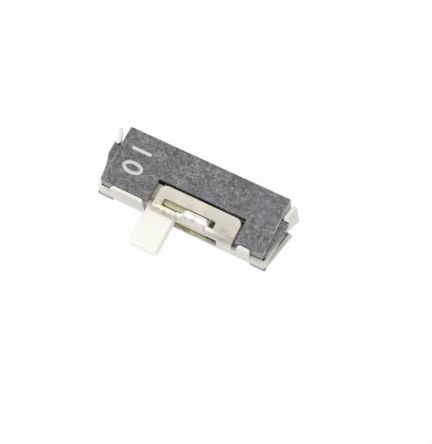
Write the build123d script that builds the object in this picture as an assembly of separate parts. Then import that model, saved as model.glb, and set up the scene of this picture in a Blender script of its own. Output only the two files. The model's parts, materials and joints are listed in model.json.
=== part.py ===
"""Surface-mount slide switch with a side knob: moulded housing, folded shell, slider and contacts.

Millimetres. X runs along the switch, the knob points to -Y and the moulded face is up (+Z).
The origin is on the board plane under the middle of the body. The slider is at its left stop.
"""
import math
import os

from build123d import *

# Overall sizes
housing_length = 6.7
housing_depth = 2.4
body_height = 1.4
sheet = 0.13
seat_clearance = 0.02
slide_clearance = 0.04
overrun = 1.0

# Places that the pieces share
shell_front = -(housing_depth + seat_clearance + sheet) / 2
wall_inner = shell_front + sheet
housing_front = wall_inner + seat_clearance
housing_rear = housing_front + housing_depth
housing_bottom = sheet + seat_clearance
housing_end = housing_length / 2

# Slider travel, to either side of the body's middle
travel = 1.7

# Shell: wall tabs, tongue over the notch, floor and bends
bend_radius = 0.16
corner_relief = 0.45
wall_low_top = 0.8
wall_tab_drop = 0.04
tab_corner_radius = 0.1
left_tab_length = 1.36
right_tab_length = 0.54
tongue_middle = 0.46
tongue_width = 3.3
tongue_drop = 0.03
tongue_corner_radius = 0.26
tongue_relief = 0.2
floor_rear_margin = 0.14
floor_corner_radius = 0.25

# Shell: knob slot, detent slot and the sprung strip between them
knob_slot_margin = 0.085
window_middle = 0.19
window_length = 2.12
window_width = 0.31
detent_strip_depth = 0.23
slot_end_radius = 0.07
bump_middle = 0.48
bump_length = 1.4
bump_depth = 0.27
bump_rise_shares = [0, 0.06, 0.52, 0.94, 1, 1, 1]
bump_web_share = 0.72

# Shell: end arms that spring over the housing's catches
arm_gap = 0.045
arm_bottom = 0.26
arm_splay = 4.7
arm_corner_radius = 0.09
slit_bottom = 0.44
slit_top = 0.5
slit_front = -0.95
lip_gap = 0.07
lip_splay = 12.4
hook_depth = 0.12
hook_reach_low = -0.02
hook_reach_high = 0.13
flap_flare_low = 21.0
left_flap_flare_high = 20.0
right_flap_flare_high = 12.0
flap_length = 0.6
flap_corner_radius = 0.09

# Housing: notch for the tongue, slider chamber and end catches
notch_left_gap = 0.2
notch_right_gap = 0.09
notch_rear_gap = 0.11
notch_depth = 0.98
roof = 0.17
chamber_end_gap = 0.12
chamber_end_wall = 0.5
contact_room = 0.66
housing_corner_radius = 0.06
housing_edge_radius = 0.035
housing_foot_chamfer = 0.06
catch_reach = 0.31
catch_waist = 0.14
catch_waist_place = -0.47
catch_toe = 0.07
catch_rear = 0.4
catch_flat = 0.4
catch_drop = 0.12
catch_bottom = 0.86
notch_edge_radius = 0.025
corner_foot_top = 0.24
corner_foot_rise = 0.01
corner_foot_depth = 0.5
ledge_top = 0.45
ledge_gap = 0.03
end_slope = 0.145

# Slider: carriage in the chamber and the knob through the wall
knob_width = 1.15
knob_length = 1.4
knob_bottom = 0.36
knob_headroom = 0.42
knob_corner_radius = 0.16
knob_edge_radius = 0.07
carriage_left_reach = 1.2
carriage_depth = 0.84
carriage_edge_radius = 0.05
runner_height = 0.05
runner_width = 0.14
detent_dip_depth = 0.1
detent_dip_length = 1.0
peg_diameter = 0.22
peg_height = 0.07
peg_spacing = 1.0
peg_rise = 0.24

# Wiper: spring strip on the slider's back
wiper_sheet = 0.06
wiper_plate_length = 2.1
wiper_headroom = 0.23
wiper_foot_gap = 0.08
wiper_arm_width = 0.36
wiper_bend_radius = 0.07
wiper_reach = 0.5
wiper_knee_share = 1 / 3
wiper_tip_rise = 0.1
wiper_gap = 0.015
peg_clearance = 0.015

# Terminals: one for each contact, moulded into the housing's back
terminal_sheet = 0.12
contact_headroom = 0.63
terminal_width = 0.55
pad_width = 0.95
pad_reach = 0.46
foot_reach = 0.4
foot_bend_radius = 0.1

# Values worked out from the sizes above
knob_middle = -travel / 2
knob_thickness = body_height - knob_bottom - knob_headroom
wall_tab_top = body_height - wall_tab_drop
tongue_left = tongue_middle - tongue_width / 2
tongue_right = tongue_middle + tongue_width / 2
notch_left = tongue_left - notch_left_gap
notch_right = tongue_right + notch_right_gap
tongue_top = body_height - tongue_drop
notch_rear = housing_front + notch_depth
tongue_rear = notch_rear - notch_rear_gap
chamber_top = body_height - roof
terminal_height = chamber_top - contact_headroom
carriage_front = wall_inner + slide_clearance
carriage_back = carriage_front + carriage_depth
carriage_bottom = sheet + slide_clearance + runner_height
carriage_top = tongue_top - sheet - slide_clearance
carriage_left = knob_middle - carriage_left_reach
chamber_left = carriage_left - chamber_end_gap
chamber_right = housing_end - chamber_end_wall
carriage_right = chamber_right - chamber_end_gap - travel
chamber_rear = carriage_back + contact_room
knob_slot_left = knob_middle - knob_width / 2 - knob_slot_margin
knob_slot_right = knob_middle + knob_width / 2 + travel + knob_slot_margin
knob_slot_bottom = knob_bottom - slide_clearance
knob_slot_top = knob_bottom + knob_thickness + slide_clearance
detent_face = wall_inner + bump_depth * bump_web_share + slide_clearance / 2
contact_places = [-travel, 0, travel]


def block(low, high):
    """A box between two opposite corners."""
    size = [b - a for a, b in zip(low, high)]
    return Pos(*low) * Box(*size, align=(Align.MIN, Align.MIN, Align.MIN))


def strip_along(points, radius, thickness, plane, start, end):
    """A bent strip: a filleted centre line given a thickness, carried from start to end."""
    line = FilletPolyline(*points, radius=radius)
    return extrude(plane.offset(start) * trace(line, thickness), end - start)


def upright_edges(solid, low, high):
    """The solid's edges along Z whose middle lies between two heights."""
    return [e for e in solid.edges().filter_by(Axis.Z) if low < e.center().Z < high]


def front_section():
    """The folded middle of the shell: floor, front wall and the tongue over the notch."""
    half = sheet / 2
    front = shell_front + half
    floor_rear = housing_rear - floor_rear_margin
    floor_half = housing_end - corner_relief
    floor_line = [(floor_rear, half), (front, half), (front, wall_low_top)]
    floor = strip_along(floor_line, bend_radius, sheet, Plane.YZ, -floor_half, floor_half)
    rear_corners = [e for e in upright_edges(floor, 0, sheet) if e.center().Y > 0]
    floor = fillet(rear_corners, floor_corner_radius)
    tongue_line = [(front, half + bend_radius), (front, tongue_top - half), (tongue_rear, tongue_top - half)]
    tongue = strip_along(tongue_line, bend_radius, sheet, Plane.YZ, tongue_left, tongue_right)
    tongue_corners = [e for e in upright_edges(tongue, chamber_top, body_height) if e.center().Y > carriage_front]
    tongue = fillet(tongue_corners, tongue_corner_radius)
    return floor + tongue


def wall_tab(left, right):
    """A tab of the front wall that stands in front of the housing beside the tongue."""
    width = right - left
    height = wall_tab_top - bend_radius
    tab = block((left, shell_front, arm_bottom), (right, wall_inner, wall_tab_top))
    top_edges = [e for e in tab.edges().filter_by(Axis.Y) if e.center().Z > height]
    return fillet(top_edges, min(tab_corner_radius, width / 2 - slot_end_radius))


def arm_outline(hook, flare):
    """The right end arm in plan: round the front corner, past the catch, in behind it and out to the tip."""
    half = sheet / 2
    front = shell_front + half
    corner = Vector(housing_end + arm_gap + half, front)
    shoulder = corner + Vector(0, catch_rear - front).rotate(Axis.Z, -arm_splay)
    heel = shoulder + Vector(-hook, hook_depth)
    tip = heel + Vector(0, flap_length).rotate(Axis.Z, -flare)
    places = [Vector(housing_end - corner_relief, front), corner, shoulder, heel, tip]
    line = FilletPolyline(*[(place.X, place.Y) for place in places], radius=arm_corner_radius)
    return trace(line, sheet)


def arm_lip():
    """The lower leaf of the right end arm, below the slit, which stands out further than the strap."""
    half = sheet / 2
    front = shell_front + half
    corner = Vector(housing_end + lip_gap + half, front)
    end = corner + Vector(0, catch_rear - front).rotate(Axis.Z, -lip_splay)
    places = [(housing_end - corner_relief, front), (corner.X, corner.Y), (end.X, end.Y)]
    return strip_along(places, arm_corner_radius, sheet, Plane.XY, arm_bottom, slit_bottom)


def end_arm(side):
    """An end arm: a low strap round the corner, slit lengthways, and a tall flap that hooks behind the catch.

    The flap leans: its lower edge stands further out than its upper edge.
    """
    flare_high = right_flap_flare_high if side > 0 else left_flap_flare_high
    lower = Plane.XY.offset(arm_bottom) * arm_outline(hook_reach_low, flap_flare_low)
    upper = Plane.XY.offset(body_height) * arm_outline(hook_reach_high, flare_high)
    arm = loft([lower.face(), upper.face()], ruled=True)
    flap_front = catch_rear + seat_clearance
    arm -= block((0, shell_front - overrun, wall_low_top), (housing_length, flap_front, body_height + overrun))
    arm -= block((0, slit_front, 0), (housing_length, flap_front, slit_top))
    rear_top = arm.edges().group_by(Axis.Z)[-1].sort_by(Axis.Y)[-1]
    arm = fillet(rear_top, flap_corner_radius) + arm_lip()
    return arm if side > 0 else mirror(arm, Plane.YZ)


def strip_section(place, push):
    """The sprung strip's bent section at a place along X, with its upper edge pushed back."""
    half = sheet / 2
    front = shell_front + half
    height = tongue_top - half
    back = shell_front + detent_strip_depth + push
    lean = math.atan2(push, height - knob_slot_top)
    foot = knob_slot_top + half * math.sin(lean)
    line = FilletPolyline((front, foot), (front + push, height), (back, height), radius=bend_radius)
    return (Plane.YZ.offset(place) * trace(line, sheet)).face()


def detent_bump():
    """The sprung strip's bump: sections along X that are pushed back towards the slider by shares."""
    shares = bump_rise_shares + bump_rise_shares[::-1]
    step = bump_length / (len(shares) - 1)
    left = bump_middle - bump_length / 2
    return loft([strip_section(left + i * step, bump_depth * share) for i, share in enumerate(shares)])


def make_shell():
    """Folded sheet: floor, front wall with tabs, tongue, sprung detent strip and end arms."""
    shell = front_section()
    left_tab = corner_relief - housing_end
    right_tab = tongue_right + tongue_relief
    shell += wall_tab(left_tab, left_tab + left_tab_length)
    shell += wall_tab(right_tab, right_tab + right_tab_length)
    for side in (-1, 1):
        shell += end_arm(side)
    slot_width = knob_slot_right - knob_slot_left
    slot_middle = (knob_slot_left + knob_slot_right) / 2
    slot_height = knob_slot_top - knob_slot_bottom
    slot = Pos(slot_middle, (knob_slot_bottom + knob_slot_top) / 2)
    slot *= RectangleRounded(slot_width, slot_height, slot_end_radius)
    shell -= extrude(Plane.XZ.offset(-shell_front - sheet / 2) * slot, sheet, both=True)
    strip_back = shell_front + detent_strip_depth
    window = Pos(window_middle, strip_back + window_width / 2)
    window *= RectangleRounded(window_length, window_width, slot_end_radius)
    shell -= extrude(Plane.XY.offset(knob_slot_top + sheet) * window, body_height)
    shell -= block(
        (bump_middle - bump_length / 2, shell_front - overrun, knob_slot_top),
        (bump_middle + bump_length / 2, strip_back, body_height + overrun),
    )
    return shell + detent_bump()


def end_catch():
    """A wedge on the housing's end: thin at the front, full behind, with a square rear face."""
    reach = housing_end + catch_reach
    points = [
        (housing_end - catch_reach, catch_rear),
        (reach, catch_rear),
        (reach, catch_rear - catch_flat),
        (housing_end + catch_waist, catch_waist_place),
        (housing_end + catch_toe, housing_front + catch_toe),
        (housing_end - catch_reach, housing_front + catch_toe),
    ]
    top = body_height - catch_drop
    wedge = extrude(Plane.XY.offset(catch_bottom) * make_face(Polyline(*points, close=True)), top - catch_bottom)
    outer_top = [e for e in wedge.edges().group_by(Axis.Z)[-1] if e.center().X > housing_end]
    return chamfer(outer_top, catch_toe)


def corner_foot():
    """A foot at the right front corner, under the shell's strap and beside its floor."""
    foot = block(
        (housing_end - corner_relief + seat_clearance, shell_front, corner_foot_rise),
        (housing_end + lip_gap + sheet, housing_front + corner_foot_depth, corner_foot_top),
    )
    return chamfer(foot.edges().group_by(Axis.Z)[0], corner_foot_rise)


def end_ledge():
    """A low ledge on the housing's right end that fills the corner behind the arm's lower leaf."""
    front = slit_front + ledge_gap
    rear = catch_rear - ledge_gap
    lean = math.tan(math.radians(lip_splay))
    outer = housing_end + lip_gap - ledge_gap
    points = [
        (housing_end - catch_reach, front),
        (outer + (front - shell_front) * lean, front),
        (outer + (rear - shell_front) * lean, rear),
        (housing_end - catch_reach, rear),
    ]
    face = make_face(Polyline(*points, close=True))
    return extrude(Plane.XY.offset(housing_bottom) * face, ledge_top - housing_bottom)


def end_slope_wedge():
    """The housing's right end behind the catch, which slopes out towards the board."""
    points = [
        (housing_end - end_slope, body_height - housing_edge_radius),
        (housing_end, body_height - housing_edge_radius),
        (housing_end + end_slope, housing_bottom),
        (housing_end - end_slope, housing_bottom),
    ]
    front = catch_rear + hook_depth
    rear = housing_rear - housing_corner_radius
    face = make_face(Polyline(*points, close=True))
    return extrude(Plane.XZ.offset(-front) * face, front - rear)


def make_terminal(place):
    """A contact pad in the chamber, a neck through the housing and a foot on the board."""
    middle = terminal_height + terminal_sheet / 2
    foot_middle = terminal_sheet / 2
    leg = housing_rear + foot_bend_radius + terminal_sheet / 2
    neck_front = chamber_rear - pad_reach
    line = [(neck_front, middle), (leg, middle), (leg, foot_middle), (housing_rear + foot_reach, foot_middle)]
    half = terminal_width / 2
    neck = strip_along(line, foot_bend_radius, terminal_sheet, Plane.YZ, place - half, place + half)
    pad = block(
        (place - pad_width / 2, chamber_rear - pad_reach, terminal_height),
        (place + pad_width / 2, chamber_rear, terminal_height + terminal_sheet),
    )
    return neck + pad


def make_housing(terminals):
    """Moulded housing: notch for the tongue, slider chamber, end catches and terminal seats."""
    outline = RectangleRounded(housing_length, housing_depth, housing_corner_radius)
    middle = (housing_front + housing_rear) / 2
    housing = extrude(Plane.XY.offset(housing_bottom) * (Pos(0, middle) * outline), body_height - housing_bottom)
    housing = fillet(housing.edges().group_by(Axis.Z)[-1], housing_edge_radius)
    housing = chamfer(housing.edges().group_by(Axis.Z)[0], housing_foot_chamfer)
    for side in (-1, 1):
        end = end_catch() + corner_foot() + end_ledge() + end_slope_wedge()
        housing += end if side > 0 else mirror(end, Plane.YZ)
    housing -= block(
        (chamber_left, housing_front - overrun, housing_bottom - overrun),
        (chamber_right, chamber_rear, chamber_top),
    )
    housing -= block(
        (notch_left, housing_front - overrun, housing_bottom),
        (notch_right, notch_rear, body_height + overrun),
    )
    rim = [
        e
        for e in housing.edges().group_by(Axis.Z)[-1]
        if notch_left - seat_clearance < e.center().X < notch_right + seat_clearance
        and e.center().Y < notch_rear + seat_clearance
    ]
    housing = fillet(rim, notch_edge_radius)
    for terminal in terminals:
        housing -= terminal
    return housing


def detent_profile():
    """The cut along the carriage's upper front edge: a long relief with a dip at each stop."""
    left = carriage_left - overrun
    right = carriage_right + overrun
    floor = knob_bottom + knob_thickness
    relief = block((left, carriage_front - overrun, floor), (right, detent_face, carriage_top + overrun))
    for place in (bump_middle, bump_middle - travel):
        ends = [(place - detent_dip_length / 2, detent_face), (place + detent_dip_length / 2, detent_face)]
        arc = ThreePointArc(ends[0], (place, detent_face + detent_dip_depth), ends[1])
        dip = make_face([arc, Line(ends[1], ends[0])])
        relief += extrude(Plane.XY.offset(floor) * dip, carriage_top + overrun - floor)
    return relief


def peg_places():
    """The middles of the two pegs that hold the wiper, on the carriage's back."""
    height = carriage_bottom + peg_rise
    return [(knob_middle - peg_spacing / 2, height), (knob_middle + peg_spacing / 2, height)]


def make_slider():
    """Carriage on two runners, with a detent edge, wiper pegs and the knob."""
    carriage = block((carriage_left, carriage_front, carriage_bottom), (carriage_right, carriage_back, carriage_top))
    carriage = fillet(upright_edges(carriage, carriage_bottom, carriage_top), carriage_edge_radius)
    carriage -= detent_profile()
    outer = shell_front - knob_length
    outline = make_face(Polyline(
        (knob_middle - knob_width / 2, carriage_front + carriage_edge_radius),
        (knob_middle - knob_width / 2, outer),
        (knob_middle + knob_width / 2, outer),
        (knob_middle + knob_width / 2, carriage_front + carriage_edge_radius),
        close=True,
    ))
    tips = outline.vertices().group_by(Axis.Y)[0]
    knob = extrude(Plane.XY.offset(knob_bottom) * fillet(tips, knob_corner_radius), knob_thickness)
    rims = [e for f in knob.faces().filter_by(Axis.Z) for e in f.edges() if e.center().Y < carriage_front]
    knob = fillet(rims, knob_edge_radius)
    slider = carriage + knob
    for y in (carriage_front + runner_width, carriage_back - 2 * runner_width):
        slider += block(
            (carriage_left + runner_width, y, carriage_bottom - runner_height),
            (carriage_right - runner_width, y + runner_width, carriage_bottom + runner_height),
        )
    for x, z in peg_places():
        peg = Circle(peg_diameter / 2)
        slider += extrude(Plane.XZ.offset(-carriage_back) * (Pos(x, z) * peg), -peg_height - wiper_sheet)
    return slider


def make_wiper():
    """Spring strip: a plate on the pegs and two sprung fingers that bridge two terminals."""
    back = carriage_back + wiper_sheet / 2
    plate_top = chamber_top - wiper_headroom
    plate_bottom = carriage_bottom + wiper_foot_gap
    knee = wiper_reach * wiper_knee_share
    contact = terminal_height + terminal_sheet + wiper_gap + wiper_sheet / 2
    tip = carriage_back + wiper_reach
    finger_line = [
        (back, plate_bottom),
        (back, plate_top),
        (back + knee, plate_top),
        (tip - knee, contact),
        (tip, contact + wiper_tip_rise),
    ]
    wiper = block(
        (knob_middle - wiper_plate_length / 2, carriage_back, plate_bottom),
        (knob_middle + wiper_plate_length / 2, carriage_back + wiper_sheet, plate_top - wiper_bend_radius * 2),
    )
    for place in contact_places[:2]:
        half = wiper_arm_width / 2
        wiper += strip_along(finger_line, wiper_bend_radius, wiper_sheet, Plane.YZ, place - half, place + half)
    for x, z in peg_places():
        hole = Pos(x, z) * Circle(peg_diameter / 2 + peg_clearance)
        wiper -= extrude(Plane.XZ.offset(-carriage_back) * hole, wiper_sheet * 2, both=True)
    return wiper


def main():
    terminals = [make_terminal(place) for place in contact_places]
    pieces = {
        "housing": make_housing(terminals),
        "shell": make_shell(),
        "slider": make_slider(),
        "wiper": make_wiper(),
    }
    for name, terminal in zip(("terminal_left", "terminal_common", "terminal_right"), terminals):
        pieces[name] = terminal
    os.makedirs("parts", exist_ok=True)
    for name, solid in pieces.items():
        export_step(solid, f"parts/{name}.step")


main()
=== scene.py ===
"""Looks of the slide switch: finishes for the CAD pieces, the printed marks, and a plain white stage."""
import json
import math

import bpy
import numpy as np
from mathutils import Matrix, Vector


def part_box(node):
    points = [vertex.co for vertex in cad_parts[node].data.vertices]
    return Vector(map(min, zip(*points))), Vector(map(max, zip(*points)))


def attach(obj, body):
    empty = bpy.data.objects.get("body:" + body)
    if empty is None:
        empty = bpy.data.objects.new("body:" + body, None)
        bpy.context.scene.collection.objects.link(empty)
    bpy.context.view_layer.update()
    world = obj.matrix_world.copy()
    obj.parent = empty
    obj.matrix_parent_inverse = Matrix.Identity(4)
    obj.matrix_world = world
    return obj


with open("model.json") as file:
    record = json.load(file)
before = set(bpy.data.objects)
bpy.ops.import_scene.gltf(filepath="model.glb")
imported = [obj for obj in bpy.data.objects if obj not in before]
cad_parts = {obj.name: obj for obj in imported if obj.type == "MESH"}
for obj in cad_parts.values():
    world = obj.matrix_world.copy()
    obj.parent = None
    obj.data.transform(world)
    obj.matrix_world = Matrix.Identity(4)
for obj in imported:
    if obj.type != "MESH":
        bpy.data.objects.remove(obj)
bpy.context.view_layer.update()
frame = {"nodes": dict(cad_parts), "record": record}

bl_info = {
    "name": "Slide switch looks",
    "version": (1, 0, 0),
    "blender": (4, 5, 0),
    "location": "3D View > Sidebar > Slide switch",
    "description": "Finishes, printed marks and stage for a small side-slide switch",
    "category": "Object",
}

MM = 0.001
PER_MM = 1000.0
HOUSING_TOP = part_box("housing")[1].z
SLOT_COLOURS = {m["slot"]: m["base_color"] for m in frame["record"]["materials"]}
TERMINALS = ("terminal_left", "terminal_common", "terminal_right")
SENSOR_WIDTH = 36
CLIP_RATIO = 100
LAMP_GLOSS = 0.15
LAMPS = (
    {"name": "key", "azimuth": -40, "elevation": 60, "distance": 60 * MM, "size": 55 * MM, "level": 0.3},
    {"name": "fill", "azimuth": 60, "elevation": 40, "distance": 60 * MM, "size": 50 * MM, "level": 0.12},
)
SEEN_RAYS = ("Is Camera Ray", "Is Glossy Ray", "Is Transmission Ray")
WELD_DISTANCE = 0.0001 * MM
EDGE_SEGMENTS = 2
EDGE_ANGLE = math.radians(32)
STROKE_SIDES = 12
BAR_STEPS = 49
RING_STEPS = 96


def length(name, default, description):
    """A size in metres that a user may change."""
    return bpy.props.FloatProperty(
        name=name, default=default, description=description, unit="LENGTH", precision=6, min=0.0
    )


def place(name, default, description):
    """A place along one axis, in metres, of either sign."""
    return bpy.props.FloatProperty(
        name=name, default=default, description=description, unit="LENGTH", precision=6
    )


def angle(name, degrees, description):
    """An angle that a user may change, given here in degrees."""
    return bpy.props.FloatProperty(
        name=name, default=math.radians(degrees), description=description, subtype="ANGLE"
    )


def colour(name, default, description):
    """A linear colour that a user may change."""
    return bpy.props.FloatVectorProperty(
        name=name, default=default, description=description, subtype="COLOR", size=3, min=0.0, max=1.0
    )


def share(name, default, description):
    """A share from nothing to all."""
    return bpy.props.FloatProperty(
        name=name, default=default, description=description, subtype="FACTOR", min=0.0, max=1.0
    )


class SwitchFinishes(bpy.types.PropertyGroup):
    """Colours and edge sizes of the switch's own pieces."""

    housing_dark: colour("Housing resin", (0.012, 0.012, 0.013), "Resin between the glass fibres")
    housing_mid: colour("Housing skin", (0.15, 0.149, 0.153), "Moulded skin of the housing")
    # Pale colour of the fibres and specks, also used as the painted highlight on the end edges
    housing_pale: colour("Housing fibre", (0.54, 0.54, 0.555), "Glass fibre that shows in the skin")
    housing_violet: colour("Housing violet", (0.125, 0.108, 0.145), "Violet tint of the skin")
    housing_olive: colour("Housing olive", (0.115, 0.117, 0.094), "Olive tint of the skin")
    housing_edge: length("Housing edge", 0.012 * MM, "Rounding along the housing's edges")
    shell_plate: colour("Shell plating", (0.76, 0.755, 0.73), "Plated sheet metal")
    shell_warm: colour("Shell tarnish", (0.53, 0.5, 0.425), "Tarnished plating, most of all on the tongue")
    # Painted rosy reflection on the plating, strongest on the tongue
    shell_rosy_reflection: colour("Shell sheen", (0.72, 0.64, 0.545), "Rosy sheen of the plating")
    shell_grease: colour("Slot grease", (0.2, 0.16, 0.095), "Grease on the knob slot's lower edge")
    shell_amber: colour("Amber grease", (0.52, 0.47, 0.28), "Thin grease round the window's ends")
    # Dark colour for the painted dark reflection on the bend, the painted shade on the end lips, and smudges
    # on the strip
    shell_shade_and_smudge: colour("Dull streak", (0.3, 0.28, 0.25), "Dull metal on the bend, the strip and the lip")
    # Painted glints: bright plating colour in spots along the strip
    shell_glint: colour("Bright rub", (0.93, 0.925, 0.9), "Plating rubbed bright along the strip")
    slot_foot: place("Slot foot", 0.32 * MM, "Height of the knob slot's lower edge")
    shell_edge: length("Shell edge", 0.02 * MM, "Rounding along the sheet's cut edges")
    slider_resin: colour("Slider resin", (0.95, 0.94, 0.885), "Cream moulding of the knob")
    slider_mottle: colour("Slider mottle", (0.92, 0.9, 0.83), "Duller resin in the mottle")
    # The carriage's grease colours below are partly painted shade under the shell
    slider_dirt_and_shade: colour("Slider dirt", (0.4, 0.38, 0.31), "Dirty grease at the carriage's left end")
    slider_grease_and_shade: colour("Slider grease", (0.74, 0.68, 0.43), "Greased carriage inside the shell")
    slider_olive_shade: colour("Slider olive", (0.45, 0.4, 0.19), "Thicker grease towards the carriage's back")
    slider_edge: length("Slider edge", 0.012 * MM, "Rounding along the slider's edges")
    wiper_bronze: colour("Wiper bronze", SLOT_COLOURS["wiper"], "Bare spring bronze")
    wiper_stain: colour("Wiper stain", (0.5, 0.36, 0.2), "Darker clouds on the bronze")
    terminal_tin: colour("Terminal tin", SLOT_COLOURS["terminal"], "Tinned contact metal")
    terminal_stain: colour("Terminal stain", (0.62, 0.61, 0.58), "Duller clouds on the tin")
    contact_edge: length("Contact edge", 0.008 * MM, "Rounding along the contacts' edges")


class SwitchMarks(bpy.types.PropertyGroup):
    """The printed bar and ring at the housing's left end."""

    ink: colour("Ink", (0.66, 0.66, 0.7), "White printing ink")
    height: length("Mark height", 0.84 * MM, "Length of the bar and of the ring's long axis")
    width: length("Mark width", 0.52 * MM, "Length of the ring's short axis")
    stroke: length("Stroke", 0.135 * MM, "Width of a printed stroke")
    film: length("Film", 0.006 * MM, "Height of the ink over the housing")
    across: place("Place across", -2.5 * MM, "Middle of the marks along X")
    bar_along: place("Bar place", 0.54 * MM, "Middle of the bar along Y")
    ring_along: place("Ring place", -0.2 * MM, "Middle of the ring along Y")


class SwitchStage(bpy.types.PropertyGroup):
    """Camera, floor, world and lamps."""

    azimuth: angle("Camera azimuth", 26.4, "Turn of the camera to the right of the front")
    elevation: angle("Camera elevation", 71.0, "Rise of the camera above the board")
    distance: length("Camera distance", 30.85 * MM, "From the camera to the housing's top")
    depth_middle: place("Housing middle", 0.075 * MM, "Middle of the housing's top along Y")
    pan_right: place("Pan right", 0.75 * MM, "Picture's middle, to the right of the housing's middle")
    pan_down: place("Pan down", 1.215 * MM, "Picture's middle, below the housing's middle")
    lens: bpy.props.FloatProperty(
        name="Lens", default=67.6, description="Focal length on a 36 mm sensor", unit="CAMERA"
    )
    floor_size: length("Floor size", 400 * MM, "Side of the square floor")
    floor_white: colour("Floor", (0.9, 0.9, 0.9), "Paper under the switch")
    floor_shade: share("Floor shade", 0.06, "How much of its shadow the floor shows")
    sky: share("Sky", 0.72, "Even light from all round")


class Value:
    """A node's output that Python's operators can use: each operator adds one Math node."""

    def __init__(self, finish, socket):
        self.finish = finish
        self.socket = socket

    def math(self, operation, first, second=0.0):
        """One Math node on two values or numbers."""
        return self.finish.add("ShaderNodeMath", {"operation": operation}, {0: first, 1: second})

    def __add__(self, other):
        return self.math("ADD", self, other)

    def __sub__(self, other):
        return self.math("SUBTRACT", self, other)

    def __rsub__(self, other):
        return self.math("SUBTRACT", other, self)

    def __mul__(self, other):
        return self.math("MULTIPLY", self, other)

    __radd__ = __add__
    __rmul__ = __mul__

    def largest(self, other):
        """The larger of the two at each point."""
        return self.math("MAXIMUM", self, other)

    def away_from(self, level):
        """The distance from a level, to either side."""
        return self.math("ABSOLUTE", self - level)

    def step(self, low, high):
        """A smooth step: 0 below low and 1 above high, falling if low is the larger."""
        span = {"From Min": low, "From Max": high}
        settings = {"interpolation_type": "SMOOTHSTEP"}
        return self.finish.add("ShaderNodeMapRange", settings, {"Value": self, **span})


class Finish:
    """One node tree, filled by the add method."""

    def __init__(self, owner):
        owner.use_nodes = True
        self.tree = owner.node_tree
        self.tree.nodes.clear()

    def add(self, kind, settings=None, sockets=None, output=0):
        """Adds a node: its settings first, then its sockets' values or links; gives one output."""
        node = self.tree.nodes.new(kind)
        for name, setting in (settings or {}).items():
            setattr(node, name, setting)
        for name, value in (sockets or {}).items():
            if isinstance(value, Value):
                self.tree.links.new(value.socket, node.inputs[name])
            else:
                node.inputs[name].default_value = value
        return Value(self, node.outputs[output]) if node.outputs else None

    def millimetres(self, turn=0.0, stretch=(1.0, 1.0, 1.0)):
        """The piece's own coordinates in millimetres, turned about Z and then stretched."""
        where = self.add("ShaderNodeTexCoord", output="Object")
        turned = self.add(
            "ShaderNodeMapping", None, {"Vector": where, "Rotation": (0, 0, turn), "Scale": (PER_MM,) * 3}
        )
        return self.add("ShaderNodeMapping", None, {"Vector": turned, "Scale": stretch})

    def axis(self, where, letter):
        """One coordinate of a place: X, Y or Z."""
        return self.add("ShaderNodeSeparateXYZ", None, {"Vector": where}, output=letter)

    def noise(self, where, scale=1.0, detail=2.0, roughness=0.5, distortion=0.0, levels=None):
        """A noise with scale features for each unit; levels make it a mask that rises between them."""
        made = self.add("ShaderNodeTexNoise", None, {
            "Vector": where,
            "Scale": scale,
            "Detail": detail,
            "Roughness": roughness,
            "Distortion": distortion,
        })
        return made.step(*levels) if levels else made

    def mix(self, factor, first, second):
        """A colour mix: 0 gives the first colour and 1 the second; the sockets go by their numbers."""
        ends = {6: self.opaque(first), 7: self.opaque(second)}
        return self.add("ShaderNodeMix", {"data_type": "RGBA"}, {0: factor, **ends}, output=2)

    def opaque(self, hue):
        """A colour with full alpha, or a link as it is."""
        return hue if isinstance(hue, Value) else (*hue, 1.0)

    def bump(self, height, depth, strength):
        """A normal from a height between 0 and 1 that stands for a depth in metres."""
        return self.add("ShaderNodeBump", None, {"Height": height, "Distance": depth, "Strength": strength})

    def surface(self, **sockets):
        """Ends the tree in a Principled shader with these sockets."""
        shader = self.add("ShaderNodeBsdfPrincipled", None, sockets)
        self.add("ShaderNodeOutputMaterial", None, {"Surface": shader})


def material(name):
    """A new material and the finish that fills its tree."""
    made = bpy.data.materials.new(name)
    return made, Finish(made)


class HousingSkin:
    """The housing's plastic: textures, then places in millimetres, then shares and depths."""

    cloud = {"scale": 1.1, "detail": 3.0, "roughness": 0.6}
    grain = {"scale": 5.0, "detail": 6.0, "roughness": 0.8, "distortion": 0.8}
    tint = {"scale": 0.8, "detail": 3.0, "levels": (0.46, 0.62)}
    specks = {"scale": 12.0, "roughness": 0.6, "levels": (0.62, 0.72)}
    strand = {"detail": 2.5, "roughness": 0.6, "distortion": 2.2, "levels": (0.57, 0.7)}
    strand_stretch = (2.6, 9.0, 7.0)
    strand_turns = (0.3, 1.1, 1.9, 2.7)
    patches = {"scale": 1.3, "detail": 3.0, "roughness": 0.65, "levels": (0.38, 0.62)}
    grain_levels = (0.39, 0.61)
    worn_highlight_levels = (0.36, 0.56)
    olive_levels = (0.5, 0.66)
    end_faces = (3.29, 3.33)
    top_face = (1.33, 1.37)
    left_end = (-0.6, -1.8)
    left_darker = 0.16
    speck_share = 0.8
    speck_pale = 0.75
    worn_highlight_share = 0.8
    violet_share = 0.65
    violet_lost_left = 0.6
    olive_share = 0.55
    fibre_least = 0.24
    fibre_in_patches = 0.3
    roughness = 0.5
    grain_gloss = 0.25
    grain_relief = 0.7
    fibre_relief = 0.3
    relief_depth = 0.014 * MM
    relief_strength = 0.5


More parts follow.
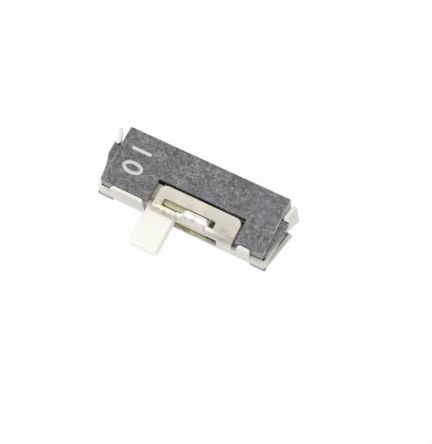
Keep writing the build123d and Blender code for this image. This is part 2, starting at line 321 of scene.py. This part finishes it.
def glass_filled_plastic(looks):
    """Black moulding: grain, violet and olive clouds, curled glass fibres, specks, and pale end edges from
    wear with a painted highlight.
    """
    made, f = material("glass_filled_plastic")
    skin = HousingSkin
    mm = f.millimetres()
    across, rise = f.axis(mm, "X"), f.axis(mm, "Z")
    cloud = f.noise(mm, **skin.cloud)
    grain = f.noise(mm, **skin.grain)
    specks = f.noise(mm, **skin.specks)
    fibres = specks * skin.speck_share
    for turn in skin.strand_turns:
        fibres = fibres.largest(f.noise(f.millimetres(turn, skin.strand_stretch), **skin.strand))
    left = across.step(*skin.left_end)
    filled = grain.step(*skin.grain_levels) * (1.0 - left * skin.left_darker)
    base = f.mix(filled, tuple(looks.housing_dark), tuple(looks.housing_mid))
    bluish = f.noise(mm, **skin.tint) * (skin.violet_share - left * skin.violet_lost_left)
    violet = f.mix(bluish, base, tuple(looks.housing_violet))
    olive = f.mix(cloud.step(*skin.olive_levels) * skin.olive_share, violet, tuple(looks.housing_olive))
    # Pale top edges at both ends: wear, and a painted highlight along them
    at_end_edge = across.away_from(0.0).step(*skin.end_faces) * rise.step(*skin.top_face)
    worn_highlight = at_end_edge * cloud.step(*skin.worn_highlight_levels)
    showing = fibres * (skin.fibre_least + f.noise(mm, **skin.patches) * skin.fibre_in_patches)
    pale = showing.largest(specks * skin.speck_pale).largest(worn_highlight * skin.worn_highlight_share)
    f.surface(**{
        "Base Color": f.mix(pale, olive, tuple(looks.housing_pale)),
        "Roughness": skin.roughness - grain * skin.grain_gloss,
        "Normal": f.bump(
            grain * skin.grain_relief + fibres * skin.fibre_relief, skin.relief_depth, skin.relief_strength
        ),
        "Specular IOR Level": 0.8,
        "Coat Weight": 0.5,
        "Coat Roughness": 0.25,
    })
    return made


class SheetPlating:
    """The shell's plating: textures, then places in millimetres, then shares and depths."""

    cloud = {"scale": 0.9, "detail": 4.0, "roughness": 0.6}
    rolled = {"detail": 3.0, "roughness": 0.6}
    rolled_stretch = (0.7, 26.0, 26.0)
    scuffs = {"detail": 2.0, "roughness": 0.6, "levels": (0.6, 0.72)}
    scuff_turn = 0.7
    scuff_stretch = (3.0, 20.0, 20.0)
    rosy_reflection = {"scale": 1.7, "detail": 3.0, "roughness": 0.6, "levels": (0.44, 0.6)}
    spots = {"scale": 4.5, "detail": 3.0, "roughness": 0.6, "levels": (0.4, 0.62)}
    smudges = {"scale": 4.2, "detail": 3.0, "roughness": 0.6, "distortion": 0.6, "levels": (0.47, 0.62)}
    glints = {"scale": 4.8, "detail": 2.0, "roughness": 0.5, "distortion": 0.3, "levels": (0.54, 0.68)}
    smear = {"detail": 3.0, "roughness": 0.6, "levels": (0.3, 0.6)}
    smear_stretch = (2.4, 9.0, 9.0)
    cloud_levels = (0.42, 0.72)
    tongue_rise = (1.0, 1.3)
    tongue_middle = 0.46
    tongue_sides = (1.75, 1.66)
    tongue_front = (-1.5, -1.15)
    tongue_rear = (-0.62, -0.36)
    bump_middle = 0.48
    bump_sides = (0.75, 0.4)
    bump_back = (-0.74, -0.82)
    reflection_sides = (1.0, 0.4)
    window_middle = 0.19
    window_end_inner = (0.8, 1.0)
    window_end_outer = (1.25, 1.1)
    window_line = -0.92
    window_reach = (0.3, 0.12)
    strip_left_middle = -0.5
    strip_left_sides = (0.75, 0.5)
    strip_front = (-1.0, -1.1)
    bend_start = (1.1, 1.5)
    bend_line = -1.13
    bend_reach = (0.17, 0.02)
    on_strip_front = (-0.72, -0.9)
    glint_side = (1.0, 0.7)
    lip_top = (0.47, 0.42)
    lip_ends = (3.5, 3.6)
    lip_back = (0.5, 0.4)
    slot_edge = (0.05, 0.02)
    slot_ends = (1.55, 1.45)
    smear_fades = (1.3, 0.2)
    bump_lighter = 0.75
    rear_lighter = 0.3
    cloud_tarnish = 0.2
    rolled_tarnish = 0.15
    tongue_tarnish = 0.7
    reflection_least = 0.2
    reflection_on_tongue = 0.1
    reflection_at_middle = 0.45
    amber_share = 0.65
    bend_reflection_share = 0.6
    lip_shade_share = 0.5
    smudge_dull = 0.4
    glint_share = 0.75
    smear_least = 0.2
    smear_fading = 0.8
    smear_share = 0.9
    smear_lacks_metal = 0.7
    roughness = 0.3
    cloud_roughness = 0.16
    scuff_roughness = 0.1
    rolled_roughness = 0.05
    rolled_relief = 0.6
    scuff_relief = 0.4
    relief_depth = 0.004 * MM
    relief_strength = 0.35


def plated_sheet(looks):
    """Pale plating with rolling lines along X and fine scuffs.

    The tongue is tarnished, less so at the rear and on the bump, whose lighter plating is polish and a
    painted highlight, and it has a painted rosy reflection. Thin amber grease lies by the window, the strip
    is smudged and has painted glints, the bend has a painted dark reflection, the end lips have painted
    shade, and the knob slot's lower edge is smeared with grease.
    """
    made, f = material("plated_sheet")
    plating = SheetPlating
    mm = f.millimetres()
    across, along, rise = (f.axis(mm, letter) for letter in "XYZ")
    cloud = f.noise(mm, **plating.cloud)
    rolled = f.noise(f.millimetres(0.0, plating.rolled_stretch), **plating.rolled)
    scuffs = f.noise(f.millimetres(plating.scuff_turn, plating.scuff_stretch), **plating.scuffs)
    from_middle = across.away_from(0.0)
    on_tongue = rise.step(*plating.tongue_rise) * (
        across.away_from(plating.tongue_middle).step(*plating.tongue_sides)
    )

    # Less tarnish on the bump, from polish and as a painted highlight, and less towards the tongue's rear
    bump = across.away_from(plating.bump_middle).step(*plating.bump_sides) * along.step(*plating.bump_back)
    rear = along.step(*plating.tongue_rear)
    lighter_plating = (bump * plating.bump_lighter).largest(rear * plating.rear_lighter)
    tongue = on_tongue * along.step(*plating.tongue_front) * (1.0 - lighter_plating)
    clouded = cloud.step(*plating.cloud_levels) * plating.cloud_tarnish
    tarnish = clouded + rolled * plating.rolled_tarnish + tongue * plating.tongue_tarnish
    plate = f.mix(tarnish, tuple(looks.shell_plate), tuple(looks.shell_warm))

    # Painted rosy reflection on the tongue, strongest towards its middle
    patch = from_middle.step(*plating.reflection_sides) * plating.reflection_at_middle
    rosy_reflection = on_tongue * (plating.reflection_on_tongue + patch) + plating.reflection_least
    rosy = f.mix(f.noise(mm, **plating.rosy_reflection) * rosy_reflection, plate, tuple(looks.shell_rosy_reflection))

    from_window = across.away_from(plating.window_middle)
    window_ends = from_window.step(*plating.window_end_inner) * from_window.step(*plating.window_end_outer)
    by_window = window_ends * along.away_from(plating.window_line).step(*plating.window_reach)
    strip_left = across.away_from(plating.strip_left_middle).step(*plating.strip_left_sides)
    amber = on_tongue * by_window.largest(strip_left * along.step(*plating.strip_front))
    spotted = amber * f.noise(mm, **plating.spots) * plating.amber_share
    stained = f.mix(spotted, rosy, tuple(looks.shell_amber))

    # Painted dark reflection along the bend, on the tongue's right part
    bend = along.away_from(plating.bend_line).step(*plating.bend_reach)
    streak = on_tongue * across.step(*plating.bend_start) * bend
    # Painted shade on the end lips' low outer part
    lip = rise.step(*plating.lip_top) * from_middle.step(*plating.lip_ends) * along.step(*plating.lip_back)
    on_strip = on_tongue * along.step(*plating.on_strip_front)
    smudges = on_strip * f.noise(mm, **plating.smudges)
    shade_and_smudges = (streak * plating.bend_reflection_share).largest(lip * plating.lip_shade_share).largest(smudges * plating.smudge_dull)
    streaked = f.mix(shade_and_smudges, stained, tuple(looks.shell_shade_and_smudge))
    # Painted glints: bright spots of plating colour on the strip's left and middle
    glints = on_strip * across.step(*plating.glint_side) * f.noise(mm, **plating.glints)
    glinted = f.mix(glints * plating.glint_share, streaked, tuple(looks.shell_glint))

    slot_line = rise.away_from(looks.slot_foot * PER_MM).step(*plating.slot_edge)
    slot = slot_line * from_middle.step(*plating.slot_ends)
    fading = across.step(*plating.smear_fades) * plating.smear_fading + plating.smear_least
    smear = slot * fading * f.noise(f.millimetres(0.0, plating.smear_stretch), **plating.smear)

    roughness = plating.roughness + cloud * plating.cloud_roughness
    f.surface(**{
        "Base Color": f.mix(smear * plating.smear_share, glinted, tuple(looks.shell_grease)),
        "Metallic": 1.0 - smear * plating.smear_lacks_metal,
        "Roughness": roughness + scuffs * plating.scuff_roughness + rolled * plating.rolled_roughness,
        "Normal": f.bump(
            rolled * plating.rolled_relief + scuffs * plating.scuff_relief,
            plating.relief_depth,
            plating.relief_strength,
        ),
    })
    return made


class CreamResin:
    """The slider's resin: textures, then places in millimetres, then shares and depths."""

    mottle = {"scale": 3.0, "detail": 4.0, "roughness": 0.6}
    fine = {"scale": 22.0, "detail": 3.0, "roughness": 0.6}
    mottle_levels = (0.3, 0.8)
    carriage_front = (-1.0, -0.9)
    beside_knob_front = (-1.2, -1.11)
    beside_knob_side = (-0.3, -0.2)
    left_dirt_shade_side = (-1.1, -1.35)
    left_dirt_shade_front = (-0.95, -0.6)
    corner_side = (-1.1, -1.25)
    corner_back = (-0.6, -0.85)
    olive_front = (-0.96, -0.74)
    mottle_share = 0.5
    corner_share = 0.85
    grease_shade_least = 0.6
    grease_shade_in_mottle = 0.5
    roughness = 0.5
    grease_gloss = 0.2
    fine_roughness = 0.12
    fine_relief = 0.6
    mottle_relief = 0.4
    relief_depth = 0.006 * MM
    relief_strength = 0.3


def cream_moulding(looks):
    """Cream resin with a faint mottle.

    The carriage inside the shell, and its front beside the knob, have grease colours that are partly painted
    shade under the shell: olive towards its back and at its left front corner, and dark grey along its left
    end.
    """
    made, f = material("cream_moulding")
    resin = CreamResin
    mm = f.millimetres()
    across, along = f.axis(mm, "X"), f.axis(mm, "Y")
    mottle = f.noise(mm, **resin.mottle)
    fine = f.noise(mm, **resin.fine)
    # Grease colour with painted shade: the carriage inside the shell, and its front beside the knob
    inside = along.step(*resin.carriage_front)
    beside_knob = along.step(*resin.beside_knob_front) * across.step(*resin.beside_knob_side)
    # Painted shade with grease: darker along the carriage's left end, olive at its left front corner
    dirt_and_shade = across.step(*resin.left_dirt_shade_side) * along.step(*resin.left_dirt_shade_front)
    corner = across.step(*resin.corner_side) * along.step(*resin.corner_back)
    dulled = mottle.step(*resin.mottle_levels) * resin.mottle_share
    clean = f.mix(dulled, tuple(looks.slider_resin), tuple(looks.slider_mottle))
    greased_and_shaded = f.mix(along.step(*resin.olive_front), tuple(looks.slider_grease_and_shade), tuple(looks.slider_olive_shade))
    cornered = f.mix(corner * resin.corner_share, greased_and_shaded, tuple(looks.slider_olive_shade))
    soiled_and_shaded = f.mix(dirt_and_shade, cornered, tuple(looks.slider_dirt_and_shade))
    grease = inside.largest(beside_knob) * (resin.grease_shade_least + mottle * resin.grease_shade_in_mottle)
    f.surface(**{
        "Base Color": f.mix(grease, clean, soiled_and_shaded),
        "Roughness": resin.roughness - inside * resin.grease_gloss + fine * resin.fine_roughness,
        "Normal": f.bump(
            fine * resin.fine_relief + mottle * resin.mottle_relief, resin.relief_depth, resin.relief_strength
        ),
    })
    return made


class ContactMetal:
    """The contacts' bare metal: textures, then shares and depths."""

    cloud = {"scale": 2.2, "detail": 4.0, "roughness": 0.62}
    drawn = {"detail": 3.0, "roughness": 0.6}
    drawn_stretch = (1.5, 30.0, 30.0)
    stain_levels = (0.4, 0.75)
    stain_share = 0.7
    roughness = 0.22
    cloud_roughness = 0.2
    drawn_roughness = 0.06
    relief_depth = 0.004 * MM
    relief_strength = 0.3


def bare_metal(name, hue, stain):
    """Bare contact metal: drawn lines along X, stain clouds and a varied gloss."""
    made, f = material(name)
    metal = ContactMetal
    cloud = f.noise(f.millimetres(), **metal.cloud)
    drawn = f.noise(f.millimetres(0.0, metal.drawn_stretch), **metal.drawn)
    f.surface(**{
        "Base Color": f.mix(cloud.step(*metal.stain_levels) * metal.stain_share, hue, stain),
        "Metallic": 1.0,
        "Roughness": metal.roughness + cloud * metal.cloud_roughness + drawn * metal.drawn_roughness,
        "Normal": f.bump(drawn, metal.relief_depth, metal.relief_strength),
    })
    return made


class InkFilm:
    """The printing ink: textures, then shares and depths."""

    thin = {"scale": 7.0, "detail": 4.0, "roughness": 0.7, "levels": (0.5, 0.72)}
    fine = {"scale": 24.0, "detail": 2.0, "roughness": 0.6}
    thin_share = 0.75
    roughness = 0.55
    fine_roughness = 0.2
    relief_depth = 0.004 * MM
    relief_strength = 0.4


def printing_ink(marks, looks):
    """White ink, thin in places so that the moulding shows through."""
    made, f = material("printing_ink")
    film = InkFilm
    mm = f.millimetres()
    thin = f.noise(mm, **film.thin)
    fine = f.noise(mm, **film.fine)
    f.surface(**{
        "Base Color": f.mix(thin * film.thin_share, tuple(marks.ink), tuple(looks.housing_pale)),
        "Roughness": film.roughness + fine * film.fine_roughness,
        "Normal": f.bump(fine, film.relief_depth, film.relief_strength),
    })
    return made


def dress(node, finish, edge):
    """Gives a CAD piece its finish, joins its loose triangles and rounds its sharp edges."""
    piece = frame["nodes"][node]
    piece.data.materials.clear()
    piece.data.materials.append(finish)
    weld = piece.modifiers.new("join", "WELD")
    weld.merge_threshold = WELD_DISTANCE
    bevel = piece.modifiers.new("round", "BEVEL")
    bevel.width = edge
    bevel.segments = EDGE_SEGMENTS
    bevel.limit_method = "ANGLE"
    bevel.angle_limit = EDGE_ANGLE
    bevel.use_clamp_overlap = True
    bevel.harden_normals = True


def tube_mesh(name, path, sides, half_width, half_height, closed):
    """A flattened tube: at each path point, an oval half_width across and half_height up.

    path holds the points' X, Y and Z, sides their unit directions across, and half_width one width
    for each point. The height follows the width, so a width of zero closes an end to a point.
    """
    around = np.linspace(0, 2 * np.pi, STROKE_SIDES, endpoint=False)
    across = sides[:, None, :] * (half_width[:, None] * np.cos(around))[..., None]
    heights = half_height * (half_width / half_width.max())[:, None] * np.sin(around)
    points = path[:, None, :] + across + np.array([0, 0, 1.0]) * heights[..., None]
    rows, columns = points.shape[:2]
    row = np.arange(rows if closed else rows - 1)[:, None]
    column = np.arange(columns)[None, :]
    corners = [(row, column), (row + 1, column), (row + 1, column + 1), (row, column + 1)]
    quads = np.stack([(r % rows) * columns + c % columns for r, c in corners], axis=-1).reshape(-1, 4)
    mesh = bpy.data.meshes.new(name)
    mesh.from_pydata(points.reshape(-1, 3), [], quads.tolist())
    mesh.polygons.foreach_set("use_smooth", np.ones(len(quads), bool))
    mesh.update()
    piece = bpy.data.objects.new(name, mesh)
    bpy.context.scene.collection.objects.link(piece)
    return piece


def printed_bar(marks):
    """The bar: a straight stroke along X with round ends.

    The points crowd towards the ends by a sine, and within a radius r of an end the half width is
    r * sqrt(1 - s^2), where s runs from 0 to 1 towards that end.
    """
    u = np.linspace(-1, 1, BAR_STEPS)
    half = marks.height / 2
    radius = marks.stroke / 2
    x = half * np.sin(u * np.pi / 2)
    past = np.clip((np.abs(x) - (half - radius)) / radius, 0, 1)
    along, rise = np.full_like(x, marks.bar_along), np.full_like(x, HOUSING_TOP)
    path = np.stack([marks.across + x, along, rise], axis=-1)
    sides = np.tile(np.array([0, 1.0, 0]), (len(u), 1))
    return tube_mesh("printed_bar", path, sides, radius * np.sqrt(1 - past**2), marks.film, False)


def printed_ring(marks):
    """The ring: a closed stroke round an oval; its side direction is the oval's outward normal."""
    turn = np.linspace(0, 2 * np.pi, RING_STEPS, endpoint=False)
    long = (marks.height - marks.stroke) / 2
    short = (marks.width - marks.stroke) / 2
    across, along = marks.across + long * np.cos(turn), marks.ring_along + short * np.sin(turn)
    path = np.stack([across, along, np.full_like(turn, HOUSING_TOP)], axis=-1)
    normal = np.stack([short * np.cos(turn), long * np.sin(turn), 0 * turn], axis=-1)
    normal /= np.linalg.norm(normal, axis=1, keepdims=True)
    return tube_mesh("printed_ring", path, normal, np.full_like(turn, marks.stroke / 2), marks.film, True)


class SWITCH_OT_dress_housing(bpy.types.Operator):
    """Gives the housing its glass-filled plastic"""

    bl_idname = "switch.dress_housing"
    bl_label = "Dress housing"

    def execute(self, context):
        looks = context.scene.switch_finishes
        dress("housing", glass_filled_plastic(looks), looks.housing_edge)
        return {"FINISHED"}


class SWITCH_OT_dress_shell(bpy.types.Operator):
    """Gives the folded shell its plating"""

    bl_idname = "switch.dress_shell"
    bl_label = "Dress shell"

    def execute(self, context):
        looks = context.scene.switch_finishes
        dress("shell", plated_sheet(looks), looks.shell_edge)
        return {"FINISHED"}


class SWITCH_OT_dress_slider(bpy.types.Operator):
    """Gives the slider its cream resin"""

    bl_idname = "switch.dress_slider"
    bl_label = "Dress slider"

    def execute(self, context):
        looks = context.scene.switch_finishes
        dress("slider", cream_moulding(looks), looks.slider_edge)
        return {"FINISHED"}


class SWITCH_OT_dress_contacts(bpy.types.Operator):
    """Gives the wiper its bronze and the terminals their tin"""

    bl_idname = "switch.dress_contacts"
    bl_label = "Dress contacts"

    def execute(self, context):
        looks = context.scene.switch_finishes
        bronze = bare_metal("spring_bronze", tuple(looks.wiper_bronze), tuple(looks.wiper_stain))
        dress("wiper", bronze, looks.contact_edge)
        tin = bare_metal("tinned_metal", tuple(looks.terminal_tin), tuple(looks.terminal_stain))
        for node in TERMINALS:
            dress(node, tin, looks.contact_edge)
        return {"FINISHED"}


class SWITCH_OT_print_marks(bpy.types.Operator):
    """Prints the bar and the ring on the housing's left end"""

    bl_idname = "switch.print_marks"
    bl_label = "Print marks"

    def execute(self, context):
        marks = context.scene.switch_marks
        ink = printing_ink(marks, context.scene.switch_finishes)
        for piece in (printed_bar(marks), printed_ring(marks)):
            piece.data.materials.append(ink)
            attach(piece, "case")
        return {"FINISHED"}


def view_axes(azimuth, elevation):
    """Unit vectors of a view: to the right, down and forward."""
    flat = math.cos(elevation)
    forward = Vector((-math.sin(azimuth) * flat, math.cos(azimuth) * flat, -math.sin(elevation)))
    right = forward.cross(Vector((0, 0, 1))).normalized()
    return right, forward.cross(right), forward


def add_camera(stage):
    """A camera whose picture's middle lies beside the housing's middle by the two pans."""
    right, down, forward = view_axes(stage.azimuth, stage.elevation)
    middle = Vector((0, stage.depth_middle, HOUSING_TOP))
    aim = middle + right * stage.pan_right + down * stage.pan_down
    data = bpy.data.cameras.new("camera")
    data.lens = stage.lens
    data.sensor_width = SENSOR_WIDTH
    data.clip_start = stage.distance / CLIP_RATIO
    data.clip_end = stage.distance * CLIP_RATIO
    camera = bpy.data.objects.new("camera", data)
    turn = Matrix((right, -down, -forward)).transposed()
    camera.matrix_world = Matrix.Translation(aim - forward * stage.distance) @ turn.to_4x4()
    bpy.context.scene.collection.objects.link(camera)
    bpy.context.scene.camera = camera


def add_lamp(name, azimuth, elevation, distance, size, level):
    """A soft square lamp, its angles in degrees; a white card facing it shows level as its share of white."""
    right, down, forward = view_axes(math.radians(azimuth), math.radians(elevation))
    data = bpy.data.lights.new(name, "AREA")
    data.size = size
    data.energy = level * (math.pi * distance) ** 2
    data.specular_factor = LAMP_GLOSS
    lamp = bpy.data.objects.new(name, data)
    turn = Matrix((right, -down, -forward)).transposed()
    lamp.matrix_world = Matrix.Translation(-forward * distance) @ turn.to_4x4()
    bpy.context.scene.collection.objects.link(lamp)


def seen_directly(f):
    """1 for rays from the camera, or by way of gloss or glass, and 0 for the light that falls on things."""
    camera, gloss, glass = (f.add("ShaderNodeLightPath", output=kind) for kind in SEEN_RAYS)
    return camera.largest(gloss).largest(glass)


def add_floor(stage):
    """A square sheet of white paper: as seen, white with a share of its own shading."""
    half = stage.floor_size / 2
    mesh = bpy.data.meshes.new("floor")
    corners = np.array([(-1, -1, 0), (1, -1, 0), (1, 1, 0), (-1, 1, 0)], float) * half
    mesh.from_pydata(corners.tolist(), [], [(0, 1, 2, 3)])
    floor = bpy.data.objects.new("floor", mesh)
    bpy.context.scene.collection.objects.link(floor)
    made, f = material("white_paper")
    paper = f.add("ShaderNodeBsdfDiffuse", None, {"Color": (*stage.floor_white, 1.0)})
    glow = f.add("ShaderNodeEmission", None, {"Color": (1, 1, 1, 1), "Strength": 1.0})
    share_white = seen_directly(f) * (1 - stage.floor_shade)
    both = f.add("ShaderNodeMixShader", None, {0: share_white, 1: paper, 2: glow})
    f.add("ShaderNodeOutputMaterial", None, {"Surface": both})
    mesh.materials.append(made)


def add_sky(stage):
    """An even world: plain light on things, and white where it is seen."""
    world = bpy.data.worlds.new("white_room")
    bpy.context.scene.world = world
    f = Finish(world)
    light = f.add("ShaderNodeBackground", None, {"Color": (1, 1, 1, 1), "Strength": stage.sky})
    white = f.add("ShaderNodeBackground", None, {"Color": (1, 1, 1, 1), "Strength": 1.0})
    both = f.add("ShaderNodeMixShader", None, {0: seen_directly(f), 1: light, 2: white})
    f.add("ShaderNodeOutputWorld", None, {"Surface": both})


class SWITCH_OT_set_stage(bpy.types.Operator):
    """Sets the camera, the floor, the world and the lamps"""

    bl_idname = "switch.set_stage"
    bl_label = "Set stage"

    def execute(self, context):
        stage = context.scene.switch_stage
        add_camera(stage)
        add_floor(stage)
        add_sky(stage)
        for lamp in LAMPS:
            add_lamp(**lamp)
        context.scene.view_settings.view_transform = "Standard"
        return {"FINISHED"}


OPERATORS = (
    SWITCH_OT_dress_housing,
    SWITCH_OT_dress_shell,
    SWITCH_OT_dress_slider,
    SWITCH_OT_dress_contacts,
    SWITCH_OT_print_marks,
    SWITCH_OT_set_stage,
)
PROPERTY_GROUPS = {
    SwitchFinishes: "switch_finishes",
    SwitchMarks: "switch_marks",
    SwitchStage: "switch_stage",
}


class SWITCH_PT_looks(bpy.types.Panel):
    """Lists the switch's operators and values"""

    bl_idname = "SWITCH_PT_looks"
    bl_label = "Slide switch"
    bl_space_type = "VIEW_3D"
    bl_region_type = "UI"
    bl_category = "Slide switch"

    def draw(self, context):
        for operator in OPERATORS:
            self.layout.operator(operator.bl_idname)
        for group, owner in PROPERTY_GROUPS.items():
            box = self.layout.box()
            for name in group.__annotations__:
                box.prop(getattr(context.scene, owner), name)


def register():
    """Registers the classes and hangs the values on the scene."""
    for group, name in PROPERTY_GROUPS.items():
        bpy.utils.register_class(group)
        setattr(bpy.types.Scene, name, bpy.props.PointerProperty(type=group))
    for made in (*OPERATORS, SWITCH_PT_looks):
        bpy.utils.register_class(made)


def unregister():
    """Takes back what register did."""
    for made in reversed((*OPERATORS, SWITCH_PT_looks)):
        bpy.utils.unregister_class(made)
    for group, name in PROPERTY_GROUPS.items():
        delattr(bpy.types.Scene, name)
        bpy.utils.unregister_class(group)


def main():
    register()
    bpy.ops.switch.dress_housing()
    bpy.ops.switch.dress_shell()
    bpy.ops.switch.dress_slider()
    bpy.ops.switch.dress_contacts()
    bpy.ops.switch.print_marks()
    bpy.ops.switch.set_stage()


if __name__ == "__main__":
    main()
